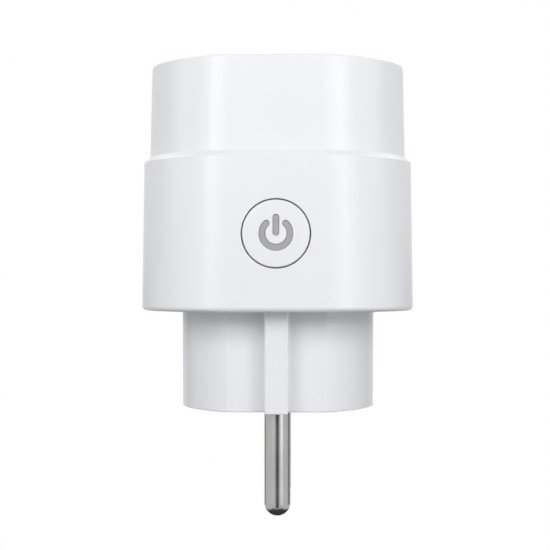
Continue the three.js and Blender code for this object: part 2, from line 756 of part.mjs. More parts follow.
CORNERS.forEach(([sx, sy], i) => {
  const at = [sx * SCREW_POST_OFFSET, sy * SCREW_POST_OFFSET];
  add(`case_screw_${i + 1}`, screw(at, SCREW_SEAT - GAP, 2.2, 1.3, 1.1, 10, 1), 'steel');
});
BOARD_SCREWS.forEach((at, i) => {
  add(`board_screw_${i + 1}`, screw(at, ON_BOARD, 1.9, 1.2, 0.9, 6, -1), 'steel');
});

export default meter;
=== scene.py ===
# %% [markdown]
# # A plug-in power meter
#
# The object is a white metering smart plug. A round plug with two pins is at the bottom, a
# matching socket recess is at the top, and a push button with a power symbol is in front.
#
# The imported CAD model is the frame: it holds every piece at its real place and size. This
# script replaces the faceted outer pieces with fine surfaces and gives every piece a finish.
# Lengths are written in millimetres and scaled to metres when a mesh is made.

# %% Load the frame
import json
import math
from functools import cached_property

import bpy
import numpy as np
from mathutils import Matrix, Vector


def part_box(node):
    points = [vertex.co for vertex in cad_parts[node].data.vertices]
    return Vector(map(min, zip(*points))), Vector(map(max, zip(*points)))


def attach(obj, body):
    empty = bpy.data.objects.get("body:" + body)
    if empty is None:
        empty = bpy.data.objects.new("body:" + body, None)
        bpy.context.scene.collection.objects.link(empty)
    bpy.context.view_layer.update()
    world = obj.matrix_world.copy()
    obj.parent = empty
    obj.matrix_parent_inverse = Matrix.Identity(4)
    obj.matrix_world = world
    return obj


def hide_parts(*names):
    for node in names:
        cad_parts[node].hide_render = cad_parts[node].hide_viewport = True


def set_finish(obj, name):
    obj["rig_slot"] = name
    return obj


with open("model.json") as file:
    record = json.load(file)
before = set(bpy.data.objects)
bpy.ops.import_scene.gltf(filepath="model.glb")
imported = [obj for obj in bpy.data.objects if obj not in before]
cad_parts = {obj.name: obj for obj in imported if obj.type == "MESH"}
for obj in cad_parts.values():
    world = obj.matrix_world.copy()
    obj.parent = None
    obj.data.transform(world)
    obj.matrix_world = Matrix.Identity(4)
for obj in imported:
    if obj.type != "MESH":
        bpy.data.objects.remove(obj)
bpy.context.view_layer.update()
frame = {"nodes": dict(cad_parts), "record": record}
MM = 0.001


# %% [markdown]
# ## Sizes read from the frame
#
# Each fine surface has to land on the CAD piece that it stands for, so its driving sizes
# come from that piece's box instead of being typed again.

# %% Driving sizes
def box_mm(node):
    """A CAD node's lowest and highest corner, in millimetres."""
    low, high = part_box(node)
    return np.array(low) / MM, np.array(high) / MM


housing_low, housing_high = box_mm("main_housing")
cover_high = box_mm("socket_cover")[1]
well_high = box_mm("socket_well")[1]
plug_high = box_mm("plug_base")[1]
pin_low = box_mm("line_pin")[0]

BODY_BOTTOM = housing_low[2]
SHOULDER_HIGH = housing_high[2]
SHOULDER_DROP = 1.05
SHOULDER_LOW = SHOULDER_HIGH - SHOULDER_DROP
TOP = cover_high[2]
HALF_BODY = housing_high[0]
HALF_TOP = cover_high[0] - 0.35
HALF_NECK = cover_high[0]
HALF_SHOULDER = HALF_NECK + SHOULDER_DROP
WALL = 1.6
WELL_RADIUS_OUT = well_high[0]
WELL_FLOOR = TOP - 17.5
RIB_REACH = plug_high[1]
PIN_OFFSET = 9.5
PIN_RADIUS = 2.4
PIN_TIP = pin_low[2]
BUTTON_Z = (BODY_BOTTOM + SHOULDER_LOW) / 2 + 0.075
DRAFT = (HALF_BODY - HALF_SHOULDER) / (SHOULDER_LOW - BODY_BOTTOM)
FRONT = HALF_BODY - DRAFT * (BUTTON_Z - BODY_BOTTOM)
print(f"housing {2 * HALF_BODY:.1f} mm wide, z {BODY_BOTTOM:.1f} to {TOP:.1f}; button at z {BUTTON_Z:.2f}")


# %% [markdown]
# ## Mesh helpers
#
# Most pieces are closed stacks of rings: a plan outline is carried up a profile, and each
# step of the profile is one ring of points. That gives an even grid that shades smoothly.
# Holes are cut afterwards with the Boolean modifier, and the result is frozen.

# %% Ring stacks
def make_mesh(name, points, faces):
    """A mesh object at the origin from points in millimetres and a list of faces."""
    mesh = bpy.data.meshes.new(name)
    mesh.from_pydata((np.asarray(points) * MM).tolist(), [], [list(map(int, f)) for f in faces])
    mesh.update()
    piece = bpy.data.objects.new(name, mesh)
    bpy.context.scene.collection.objects.link(piece)
    return piece


def stack(name, rings, closed=False):
    """Joins rings of equal length into a surface. A quad joins points j and j + 1 of one ring to
    the same two of the next; then each end ring gets a face, or the last ring joins the first."""
    rings = np.asarray(rings, float)
    layers, around = rings.shape[:2]
    here = np.arange(around)
    there = (here + 1) % around
    steps = layers if closed else layers - 1
    base = (np.arange(steps) * around)[:, None]
    over = ((np.arange(steps) + 1) % layers * around)[:, None]
    quads = np.stack([base + here, base + there, over + there, over + here], -1).reshape(-1, 4)
    faces = list(quads)
    if not closed:
        faces += [here[::-1], (layers - 1) * around + here]
    piece = make_mesh(name, rings.reshape(-1, 3), faces)
    face_outwards(piece)
    return piece


def face_outwards(piece):
    """Turns the mesh round when its signed volume, the sum of its tetrahedra, is negative."""
    mesh = piece.data
    mesh.calc_loop_triangles()
    corners = np.empty(len(mesh.loop_triangles) * 3, np.int32)
    mesh.loop_triangles.foreach_get("vertices", corners)
    places = np.empty(len(mesh.vertices) * 3)
    mesh.vertices.foreach_get("co", places)
    a, b, c = places.reshape(-1, 3)[corners.reshape(-1, 3)].transpose(1, 0, 2)
    if np.einsum("ij,ij->", a, np.cross(b, c)) < 0:
        mesh.flip_normals()


def ring(plan, height):
    """A plan outline of (x, y) points lifted to a height."""
    return np.column_stack([plan, np.full(len(plan), height)])


def quarter(centre, radius, start, stop, steps=8):
    """Points on an arc in (distance out, height): the centre plus the radius times the cosine
    and sine of angles in even steps, in degrees."""
    angle = np.radians(np.linspace(start, stop, steps + 1))
    return [(centre[0] + radius * math.cos(a), centre[1] + radius * math.sin(a)) for a in angle]


def lathe(name, profile, at=(0, 0), around=96):
    """A profile of (radius, height) turned about an upright axis: each of its points makes a
    ring, the unit circle times that radius. An end on the axis that is level with its neighbour
    is left to the flat end face, and a pointed end gets a tiny ring."""
    angle = np.linspace(0, 2 * np.pi, around, endpoint=False)
    circle = np.column_stack([np.cos(angle), np.sin(angle)])
    if profile[0][0] == 0 and profile[0][1] == profile[1][1]:
        profile = profile[1:]
    if profile[-1][0] == 0 and profile[-1][1] == profile[-2][1]:
        profile = profile[:-1]
    return stack(name, [ring(circle * max(r, 0.01) + np.array(at), z) for r, z in profile])


# %% [markdown]
# ## Cutting and finishing
#
# A hole is a second closed surface taken away by the exact Boolean solver. The modifiers'
# result is frozen into the mesh at once, so the next step starts from plain geometry.

# %% Cutting and finishing
def freeze(piece):
    """Replaces the mesh by its own result after modifiers."""
    bpy.context.view_layer.update()
    result = piece.evaluated_get(bpy.context.evaluated_depsgraph_get())
    mesh = bpy.data.meshes.new_from_object(result)
    piece.modifiers.clear()
    piece.data = mesh


def carve(piece, cutters, operation="DIFFERENCE"):
    """Cuts (or joins) other pieces with the Boolean modifier, and removes them."""
    for cutter in cutters:
        change = piece.modifiers.new("cut", "BOOLEAN")
        change.operation = operation
        change.solver = "EXACT"
        change.object = cutter
    freeze(piece)
    for cutter in cutters:
        bpy.data.objects.remove(cutter)


def shade(piece, angle=35):
    """Smooth shading with sharp edges past an angle, and large faces kept flat."""
    piece.data.shade_smooth()
    piece.data.set_sharp_from_angle(angle=math.radians(angle))
    weigh = piece.modifiers.new("weigh", "WEIGHTED_NORMAL")
    weigh.keep_sharp = True
    freeze(piece)


def settle(piece, body, slot, *nodes):
    """Shades the piece, makes it ride on its body and stand for its CAD nodes."""
    shade(piece)
    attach(piece, body)
    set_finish(piece, slot)
    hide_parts(*nodes)
    print(f"{piece.name}: {len(piece.data.vertices)} points for {', '.join(nodes)}")


# %% [markdown]
# ## The plan outline
#
# The housing is a rounded square, but not one with plain quarter-round corners: each corner
# starts with a tighter arc, opens into a wide one, and tightens again. Three tangent arcs
# make it, and the whole outline scales with the half-width, so the drafted walls stay fair.

# %% Rounded square outline
def arc(centre, radius, start, stop, steps):
    """Points on a circle, the centre plus the radius times cosine and sine, from one angle to
    another in even steps, with the last point left out."""
    angle = np.linspace(start, stop, steps, endpoint=False)
    return np.column_stack([centre[0] + radius * np.cos(angle), centre[1] + radius * np.sin(angle)])


def unit_plan(flat=8.54 / 24.8, tight=11.65 / 24.8, blend=0.355, flat_steps=6):
    """The outline at half-width 1: a flat, then a tight, a wide and a tight arc per corner. With
    s and c the sine and cosine of the angle that a tight arc turns, the arcs meet without a kink
    when the wide radius is (1 - flat - tight (1 + s - c)) / (c - s)."""
    sine, cosine = math.sin(blend), math.cos(blend)
    wide = (1 - flat - tight * (1 + sine - cosine)) / (cosine - sine)
    quarter_turn = math.pi / 2
    corner = np.vstack([
        np.column_stack([np.ones(flat_steps), np.linspace(-flat, flat, flat_steps, endpoint=False)]),
        arc((1 - tight, flat), tight, 0, blend, 10),
        arc((1 - tight + (tight - wide) * cosine, flat + (tight - wide) * sine), wide,
            blend, quarter_turn - blend, 16),
        arc((flat, 1 - tight), tight, quarter_turn - blend, quarter_turn, 10),
    ])
    turns = [np.array([[math.cos(t), -math.sin(t)], [math.sin(t), math.cos(t)]])
             for t in quarter_turn * np.arange(4)]
    return np.vstack([corner @ turn.T for turn in turns])


PLAN = unit_plan()
TOWARDS = PLAN / np.linalg.norm(PLAN, axis=1)[:, None]
print("plan outline:", len(PLAN), "points")


def plan_stack(name, profile):
    """Carries the outline along (half-width, height) points: each ring is the unit outline times
    its half-width. A third value of True makes that ring a circle of the first value's radius.
    The stack closes on itself."""
    rings = []
    for half, height, *kind in profile:
        rings.append(ring((TOWARDS if kind else PLAN) * half, height))
    return stack(name, rings, closed=True)


# %% [markdown]
# ## Plug outline
#
# The plug is a disc with a flat in front and behind, and a guide rib in the middle of each
# flat. One outline with rounded corners makes the plug itself, the opening that it passes
# through and its hollow inside, each offset a little from the last.

# %% Plug outline
def rounded(corners, steps=5):
    """A closed outline from (x, y, radius) corners, each replaced by an arc that is tangent to
    both of its sides. The arc starts at the radius over the tangent of half the corner's angle
    from the corner, and its centre is the radius over the sine of it along the bisector."""
    outline = []
    count = len(corners)
    for i, (x, y, radius) in enumerate(corners):
        here = np.array([x, y])
        if not radius:
            outline.append(here)
            continue
        back = np.array(corners[i - 1][:2]) - here
        ahead = np.array(corners[(i + 1) % count][:2]) - here
        back /= np.linalg.norm(back)
        ahead /= np.linalg.norm(ahead)
        half_angle = math.acos(np.clip(back @ ahead, -1, 1)) / 2
        reach = radius / math.tan(half_angle)
        centre = here + (back + ahead) / np.linalg.norm(back + ahead) * radius / math.sin(half_angle)
        first = here + back * reach - centre
        last = here + ahead * reach - centre
        turn = math.atan2(first[0] * last[1] - first[1] * last[0], first @ last)
        for t in np.linspace(0, turn, steps + 1):
            spin = np.array([[math.cos(t), -math.sin(t)], [math.sin(t), math.cos(t)]])
            outline.append(centre + spin @ first)
    return np.array(outline)


def plug_outline(radius=18.2, flat=15.9, reach=RIB_REACH, half=2.13, tip=0.4, root=0.25):
    """Right side arc, back flat with its rib, left side arc, front flat with its rib. A side arc
    meets a flat at the angle whose sine is the flat's distance over the radius."""
    crease = math.asin(flat / radius)
    side = arc((0, 0), radius, -crease, crease, 40)
    right = [(x, y, 0) for x, y in side] + [(radius * math.cos(crease), flat, 0.6)]
    right[0] = (*right[0][:2], 0.6)
    back = [(half, flat, root), (half, reach, tip), (-half, reach, tip), (-half, flat, root)]
    left = [(-x, -y, r) for x, y, r in right]
    front = [(-x, -y, r) for x, y, r in back]
    return rounded(right + back + left + front)


def unit(rows):
    """Each row divided by its length."""
    return rows / np.linalg.norm(rows, axis=1)[:, None]


def offset(outline, distance):
    """Moves each point of an outline outwards along the mean normal of its two sides."""
    after = unit(np.roll(outline, -1, axis=0) - outline)
    before = unit(outline - np.roll(outline, 1, axis=0))
    along = after + before
    return outline + unit(np.column_stack([along[:, 1], -along[:, 0]])) * distance


PLUG = plug_outline()
print("plug outline:", len(PLUG), "points")


def prism(name, outline, low, high):
    """An outline carried straight from one height to another."""
    return stack(name, [ring(outline, low), ring(outline, high)])


def brick(name, low, high):
    """A box between two corners, used as a cutter."""
    x0, y0, x1, y1 = low[0], low[1], high[0], high[1]
    return prism(name, np.array([(x0, y0), (x1, y0), (x1, y1), (x0, y1)]), low[2], high[2])


def peg(name, radius, low, high, at=(0, 0), around=64):
    """A straight cylinder, used as a cutter."""
    return lathe(name, [(radius, low), (radius, high)], at, around)


# %% [markdown]
# ## Front parts share one tilted axis
#
# The front wall leans back by less than a degree because of its draft. The button's hole,
# disc and symbol are made round their own upright axis first and then laid along the wall's
# normal, so the ring gap stays even all round.

# %% Lay a piece on the front wall
LEAN = math.atan(DRAFT)
OUT = np.array([0, -math.cos(LEAN), math.sin(LEAN)])
UP = np.array([0, math.sin(LEAN), math.cos(LEAN)])
ACROSS = np.array([1.0, 0, 0])
FACE_CENTRE = np.array([0, -FRONT, BUTTON_Z])


def onto_front(piece):
    """Lays a piece made at the origin on the front wall: each point goes to the face's centre
    plus x times across, y times up and z times out."""
    mesh = piece.data
    places = np.empty(len(mesh.vertices) * 3)
    mesh.vertices.foreach_get("co", places)
    x, y, z = places.reshape(-1, 3).T
    laid = np.outer(x, ACROSS) + np.outer(y, UP) + np.outer(z, OUT) + FACE_CENTRE * MM
    mesh.vertices.foreach_set("co", laid.ravel())
    mesh.update()
    face_outwards(piece)
    return piece


# %% [markdown]
# ## Main housing
#
# One moulding with a fillet at the bottom, drafted walls and a chamfered shoulder. The
# chamfer's lower edge is slightly rounded, because a knife edge would never catch light.
# The loop runs up the outside, over the shoulder's lip and down the inside.

# %% Main housing
BOTTOM_FILLET = 0.9
EDGE = 0.12
INNER_RING = 9.0


def housing_profile():
    """(half-width, height) round the housing's section, starting under its floor. The wall's
    half-width falls by the draft times the height, and the edge under the chamfer is an eighth
    of a circle that starts its radius times tan 22.5 degrees below the corner."""
    bend = EDGE * math.tan(math.pi / 8)
    wall_top = SHOULDER_LOW - bend
    return [
        (INNER_RING, BODY_BOTTOM, True),
        (HALF_BODY - 3, BODY_BOTTOM),
        *quarter((HALF_BODY - BOTTOM_FILLET, BODY_BOTTOM + BOTTOM_FILLET), BOTTOM_FILLET, -90, 0),
        (HALF_BODY - DRAFT * 3, BODY_BOTTOM + 3),
        (HALF_SHOULDER + DRAFT * 2, SHOULDER_LOW - 2),
        (HALF_SHOULDER + DRAFT * bend, wall_top),
        *quarter((HALF_SHOULDER - EDGE, wall_top), EDGE, 0, 45, 4)[1:],
        (HALF_NECK, SHOULDER_HIGH),
        (HALF_SHOULDER - WALL, SHOULDER_HIGH),
        (HALF_SHOULDER - WALL, SHOULDER_LOW),
        (HALF_BODY - WALL, BODY_BOTTOM + WALL + 1),
        (HALF_BODY - WALL - 0.6, BODY_BOTTOM + WALL),
        (INNER_RING, BODY_BOTTOM + WALL, True),
    ]


BUTTON_HOLE = 6.02
LIP = 0.10
SCREW_BOSS = 3.2
SCREW_BOSS_TOP = 21.6
SCREW_WELL = 2.6
SCREW_WELL_TOP = 20
SCREW_BORE = 1.5
SCREW_AT = [np.array(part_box(f"case_screw_{i}")[0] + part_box(f"case_screw_{i}")[1])[:2] / 2 / MM
            for i in range(1, 5)]


def button_cutter():
    """A cylinder that flares into a small rounded lip where it meets the wall's face. The lip is
    a quarter circle: at depth d the radius is hole + lip - root of (lip^2 - (lip - d)^2)."""
    depth = np.linspace(0, 1, 5) * LIP
    flare = [(BUTTON_HOLE + LIP - math.sqrt(LIP ** 2 - (LIP - d) ** 2), -d) for d in depth]
    outline = [(0, 2), (BUTTON_HOLE + LIP, 2), *flare, (BUTTON_HOLE, -4), (0, -4)]
    return onto_front(lathe("button_cutter", outline, around=160))


housing = plan_stack("housing_shell", housing_profile())
bosses = [peg(f"boss_{i}", SCREW_BOSS, BODY_BOTTOM + 0.5, SCREW_BOSS_TOP, at)
          for i, at in enumerate(SCREW_AT)]
carve(housing, bosses, "UNION")
plug_opening = prism("plug_opening", offset(PLUG, 0.08), BODY_BOTTOM - 1, BODY_BOTTOM + WALL + 1)
cutters = [button_cutter(), plug_opening]
for i, at in enumerate(SCREW_AT):
    seat = [
        (0, BODY_BOTTOM - 1), (SCREW_WELL + 0.15, BODY_BOTTOM - 1),
        (SCREW_WELL + 0.15, BODY_BOTTOM), (SCREW_WELL, BODY_BOTTOM + 0.15),
        (SCREW_WELL, SCREW_WELL_TOP), (SCREW_BORE, SCREW_WELL_TOP),
        (SCREW_BORE, SCREW_WELL_TOP + 3), (0, SCREW_WELL_TOP + 3),
    ]
    cutters.append(lathe(f"screw_well_{i}", seat, at, 48))
carve(housing, cutters)
settle(housing, "housing", "shell", "main_housing")

# %% [markdown]
# ## Socket cover
#
# The cover stands on the housing's lip and runs up to a thin rounded rim. Its top face is
# only the ring between the rounded square outside and the round mouth inside.

# %% Socket cover
RIM = 0.55
MOUTH = WELL_RADIUS_OUT + 0.12
SUNK = 0.01
SCREW_POST = 1.9


def cover_profile():
    """(half-width, height) round the cover's section, starting at its foot. The wall leans in by
    the difference of its two half-widths over its height."""
    foot = SHOULDER_HIGH - SUNK
    slope = (HALF_NECK - HALF_TOP) / (TOP - foot)
    return [
        (HALF_NECK - WALL - 0.3, foot),
        (HALF_NECK, foot),
        (HALF_NECK - slope * 2, foot + 2),
        (HALF_TOP + slope * 2, TOP - 2),
        *quarter((HALF_TOP - RIM, TOP - RIM), RIM, 0, 90),
        (MOUTH + 0.15, TOP, True),
        (MOUTH, TOP - 0.15, True),
        (MOUTH, TOP - 1.5, True),
        (HALF_TOP - WALL, TOP - 2.2),
    ]


cover = plan_stack("cover_shell", cover_profile())
posts = [peg(f"post_{i}", SCREW_POST, SCREW_BOSS_TOP + 0.4, TOP - 1.2, at) for i, at in enumerate(SCREW_AT)]
carve(cover, posts, "UNION")
settle(cover, "housing", "shell", "socket_cover")

# %% [markdown]
# ## Socket recess
#
# The insert is a cup. A prism of the recess outline is cut out of a round block: the outline
# is a circle with a flat in front and behind, and a groove in each flat for a plug's rib.

# %% Socket recess
WELL_RADIUS = 19.5
WELL_FLAT = 16.4
GROOVE_HALF = 2.7
GROOVE_REACH = 18.3
FLOOR_THICKNESS = 1.8
PIN_HOLE = 3.1
STRIP_SLOT = 3.3
LEAD_IN = 0.35


def side_brick(name, side, near, far, low, high):
    """A cutter on one side of the object, as wide as the slots that an earth strip lies in."""
    left, right = sorted((side * near, side * far))
    return brick(f"{name}_{side}", (left, -STRIP_SLOT, low), (right, STRIP_SLOT, high))


def recess_outline():
    """Side arcs joined by flats, each flat with a groove in its middle. An arc meets a flat at
    the angle whose sine is the flat's distance over the radius."""
    flat, groove, reach = WELL_FLAT, GROOVE_HALF, GROOVE_REACH
    crease = math.asin(flat / WELL_RADIUS)
    side = arc((0, 0), WELL_RADIUS, -crease, crease, 44)
    right = [(x, y, 0) for x, y in side] + [(WELL_RADIUS * math.cos(crease), flat, 0.5)]
    right[0] = (*right[0][:2], 0.5)
    back = [(groove, flat, 0.4), (groove, reach, 0.4), (-groove, reach, 0.4), (-groove, flat, 0.4)]
    left = [(-x, -y, r) for x, y, r in right]
    front = [(-x, -y, r) for x, y, r in back]
    return rounded(right + back + left + front)


recess_plan = recess_outline()
insert = lathe("recess_insert", [
    (0, WELL_FLOOR - FLOOR_THICKNESS), (WELL_RADIUS_OUT, WELL_FLOOR - FLOOR_THICKNESS),
    (WELL_RADIUS_OUT, TOP - 0.15), (WELL_RADIUS_OUT - 0.15, TOP), (0, TOP),
], around=160)
recess = stack("recess", [
    ring(offset(recess_plan, -0.4), WELL_FLOOR),
    ring(offset(recess_plan, -0.12), WELL_FLOOR + 0.12),
    ring(recess_plan, WELL_FLOOR + 0.4),
    ring(recess_plan, TOP - LEAD_IN),
    ring(offset(recess_plan, 0.09), TOP - LEAD_IN * 0.45),
    ring(offset(recess_plan, LEAD_IN), TOP),
    ring(offset(recess_plan, LEAD_IN), TOP + 1),
])
clip_slots = [side_brick("slot", side, 19.2, 22, WELL_FLOOR - 3, 60.8) for side in (-1, 1)]
funnel = [
    (0, WELL_FLOOR + 1), (PIN_HOLE + 0.35, WELL_FLOOR + 1), (PIN_HOLE + 0.35, WELL_FLOOR),
    (PIN_HOLE + 0.08, WELL_FLOOR - 0.12), (PIN_HOLE, WELL_FLOOR - 0.35),
    (PIN_HOLE, WELL_FLOOR - 3), (0, WELL_FLOOR - 3),
]
pin_holes = [lathe(f"hole_{side}", funnel, (0, side * PIN_OFFSET), 64) for side in (-1, 1)]
carve(insert, [recess, *clip_slots, *pin_holes])
carve(insert, [peg("post", 1.7, 39, WELL_FLOOR - 1.5)], "UNION")
settle(insert, "housing", "insert", "socket_well")

# %% [markdown]
# ## Plug
#
# The plug's outline is carried up from its contact face with a small edge radius, and then
# hollowed. Side recesses take the earth contacts, and the face has a hole for each pin and
# for the earth pin that some wall sockets have.

# %% Plug
PLUG_EDGE = 0.22
PLUG_TOP = plug_high[2] - 1.6
HOLLOW_RADIUS = 13.6
FACE_THICKNESS = 2.2
STRIP_RECESS_TOP = 17.3
EARTH_HOLE = 3.1


def plug_rings():
    """Rings from the contact face round its edge radius and up the slightly drafted side: each
    is the outline moved in by as much as the quarter circle lies in at that height."""
    rings = []
    for out, height in quarter((-PLUG_EDGE, PLUG_EDGE), PLUG_EDGE, -90, 0, 5):
        rings.append(ring(offset(PLUG, out - 0.06), height))
    rings.append(ring(PLUG, BODY_BOTTOM - 0.5))
    rings.append(ring(PLUG, PLUG_TOP))
    return rings


plug = stack("plug_shell", plug_rings())
hollow_outline = arc((0, 0), HOLLOW_RADIUS, 0, 2 * math.pi, 96)
cutters = [prism("plug_hollow", hollow_outline, FACE_THICKNESS, PLUG_TOP + 1)]
for side in (-1, 1):
    cutters.append(side_brick("recess", side, 16.2, 19, -1, STRIP_RECESS_TOP))
    cutters.append(side_brick("window", side, 13, 18, 12.6, STRIP_RECESS_TOP))
    cutters.append(peg(f"pin_hole_{side}", PIN_RADIUS + 0.06, -1, 3, (0, side * PIN_OFFSET)))
earth_hole = [
    (0, -1), (EARTH_HOLE + 0.25, -1), (EARTH_HOLE + 0.25, 0), (EARTH_HOLE, 0.25), (EARTH_HOLE, 3), (0, 3),
]
cutters.append(lathe("earth_hole", earth_hole, (10, 0), 64))
carve(plug, cutters)
settle(plug, "housing", "shell", "plug_base")

# %% [markdown]
# ## Pins
#
# Solid turned pins with a hemispherical tip. A lathe profile with many short steps round
# the tip keeps the reflections clean.

# %% Pins
COLLAR = 3.3
COLLAR_LOW, COLLAR_HIGH = 2.5, 3.9
RIVET = 1.4
RIVET_TOP = 6.2


def pin_profile():
    """From the tip round a quarter circle, up the shank, over the collar to the rivet tail."""
    tip = quarter((0, PIN_TIP + PIN_RADIUS), PIN_RADIUS, -90, 0, 24)
    return [
        *tip, (PIN_RADIUS, -10), (PIN_RADIUS, COLLAR_LOW), (COLLAR, COLLAR_LOW),
        (COLLAR, COLLAR_HIGH), (RIVET, COLLAR_HIGH), (RIVET, RIVET_TOP), (0, RIVET_TOP),
    ]


for name, side in (("line", -1), ("neutral", 1)):
    pin = lathe(f"{name}_pin_turned", pin_profile(), (0, side * PIN_OFFSET), 96)
    settle(pin, "housing", "nickel", f"{name}_pin")

# %% [markdown]
# ## Earth strips
#
# Each strip is one length of plated metal: the side contact on the plug, a joggle into the
# hollow, a straight run up, and the sprung clip in the recess. A rounded route carries a
# flat section with slightly rounded edges.

# %% Earth strips
STRIP = 0.7
STRIP_WIDTH = 5.5
EARTH_ROUTE = [
    (16.8, 1.0, 0), (16.95, 3.2, 3), (16.95, 13.4, 0.9), (14.75, 15.6, 0.9), (14.75, 22.0, 0.9),
    (20.4, 22.0, 0.9), (20.4, 47.6, 3), (17.3, 53.8, 1.5), (17.3, 56.2, 1.5), (19.9, 60.3, 0),
]


def open_route(corners, steps=8):
    """The rounded corners of an open route: it is closed far away and the far point dropped."""
    padded = [*corners, (60, 30, 0)]
    return rounded(padded, steps)[:-1]


def strip_mesh(name, side):
    """A section of eight points, a flat strip with small chamfers, carried along the route: each
    ring is the route's point plus the section's thickness times the route's normal there."""
    route = open_route(EARTH_ROUTE)
    along = np.gradient(route, axis=0)
    along /= np.linalg.norm(along, axis=1)[:, None]
    across = np.column_stack([-along[:, 1], along[:, 0]])
    half, wide, edge = STRIP / 2, STRIP_WIDTH / 2, 0.12
    section = np.array([
        (-half, edge - wide), (edge - half, -wide), (half - edge, -wide), (half, edge - wide),
        (half, wide - edge), (half - edge, wide), (edge - half, wide), (-half, wide - edge),
    ])
    rings = []
    for point, normal in zip(route, across):
        x = point[0] + normal[0] * section[:, 0]
        z = point[1] + normal[1] * section[:, 0]
        rings.append(np.column_stack([side * x, section[:, 1], z]))
    return stack(name, rings)


for name, side in (("left", -1), ("right", 1)):
    settle(strip_mesh(f"earth_spring_{name}", side), "housing", "nickel", f"earth_strip_{name}")

# %% [markdown]
# ## Button
#
# The button is a flush disc with a small edge radius and a pocket in the shape of a power
# symbol. The symbol itself is the front of a light guide: it fills the pocket but sits a
# little lower, so its border stays darker than its middle.

# %% Button
DISC = 5.78
SYMBOL_RADIUS = 2.39
STROKE = 1.13
OPENING = 0.77
BAR_TOP = 3.29
BAR_BOTTOM = -0.38
BUTTON_COLLAR = 6.9
COLLAR_FRONT, BUTTON_BACK = -1.9, -2.7


def arc_outline(stroke):
    """The symbol's open ring: outer arc, round end, inner arc back, round end."""
    half = stroke / 2
    start = math.pi / 2 + OPENING
    stop = math.pi / 2 - OPENING + 2 * math.pi
    middle = SYMBOL_RADIUS
    tip = middle * np.array([math.cos(stop), math.sin(stop)])
    tail = middle * np.array([math.cos(start), math.sin(start)])
    return np.vstack([
        arc((0, 0), middle + half, start, stop, 72),
        arc(tip, half, stop, stop + math.pi, 14),
        arc((0, 0), middle - half, stop, start, 60),
        arc(tail, half, start + math.pi, start + 2 * math.pi, 14),
    ])


def bar_outline(stroke):
    """The symbol's bar: a slot shape with two round ends, whose centres stay put."""
    half = stroke / 2
    top = BAR_TOP - STROKE / 2
    bottom = BAR_BOTTOM + STROKE / 2
    upper = arc((0, top), half, 0, math.pi, 20)
    lower = arc((0, bottom), half, math.pi, 2 * math.pi, 20)
    return np.vstack([upper, lower])


def button_profile():
    """Front face, edge radius, barrel, collar behind the wall, and the closed back."""
    edge = 0.16
    rounding = quarter((DISC - edge, -edge), edge, 90, 0, 5)
    return [
        (0, 0), (DISC - edge - 0.3, 0), *rounding, (DISC, COLLAR_FRONT),
        (BUTTON_COLLAR, COLLAR_FRONT), (BUTTON_COLLAR, BUTTON_BACK), (0, BUTTON_BACK),
    ]


button = onto_front(lathe("button_disc", button_profile(), around=128))
POCKET = 0.6
pockets = []
for kind, outline in (("arc", arc_outline(STROKE)), ("bar", bar_outline(STROKE))):
    wider = offset(outline, 0.05)
    flare = [ring(outline, -POCKET), ring(outline, -0.05), ring(wider, 0), ring(wider, 1)]
    pockets.append(onto_front(stack(f"pocket_{kind}", flare)))
carve(button, pockets)
settle(button, "button", "shell", "button_cap")

INLAY_DEPTH = 0.20
INLAY_EDGE = 0.10
CLEAR = 0.10
marks = []
for kind, outline in (("arc", arc_outline(STROKE - CLEAR)), ("bar", bar_outline(STROKE - CLEAR))):
    rings = [ring(outline, -POCKET + 0.05), ring(outline, -INLAY_DEPTH - INLAY_EDGE),
             ring(offset(outline, -INLAY_EDGE * 0.3), -INLAY_DEPTH - INLAY_EDGE * 0.3),
             ring(offset(outline, -INLAY_EDGE), -INLAY_DEPTH)]
    marks.append(onto_front(stack(f"power_mark_{kind}", rings)))
for mark in marks:
    settle(mark, "button", "translucent", "symbol_light_guide")

# %% [markdown]
# ## Case screws
#
# Four pan-head screws sit in wells in the underside, beside the plug. The driver recess is
# three short slots that meet in the middle.

# %% Case screws
HEAD_SEAT = 19.7
HEAD_HEIGHT = 1.3
HEAD_RADIUS = 2.2
SHANK_RADIUS = 1.1
ARM_HALF = 0.32
ARM_REACH = 1.3


def case_screw(index, at):
    """A turned head and shank with a recess cut into the head: three slots, 120 degrees apart,
    from just behind the centre to the arm's reach, each twice the arm's half-width wide."""
    seat, under = HEAD_SEAT, HEAD_SEAT - HEAD_HEIGHT
    rounding = quarter((HEAD_RADIUS - 0.45, under + 0.45), 0.45, -90, 0, 5)
    head = [
        (0, under), (1.5, under), *rounding, (HEAD_RADIUS, seat),
        (SHANK_RADIUS, seat), (SHANK_RADIUS, seat + 9), (0, seat + 10),
    ]
    screw = lathe(f"case_screw_head_{index}", head, at, 48)
    arms = []
    for k in range(3):
        spin = math.radians(90 + 120 * k)
        ahead = np.array([math.cos(spin), math.sin(spin)])
        aside = np.array([-ahead[1], ahead[0]])
        inner, outer = at - ahead * 0.1, at + ahead * ARM_REACH
        half = aside * ARM_HALF
        outline = np.array([inner + half, inner - half, outer - half, outer + half])
        arms.append(prism(f"arm_{index}_{k}", outline, seat - 2, seat - 0.5))
    carve(screw, arms)
    settle(screw, "housing", "steel", f"case_screw_{index}")


for index, at in enumerate(SCREW_AT, 1):
    case_screw(index, at)


# %% [markdown]
# ## Shader maths
#
# A material's pattern is arithmetic on sockets, so a small class wraps a socket and lets
# Python's operators add the Math nodes. Every other node is made by one method.

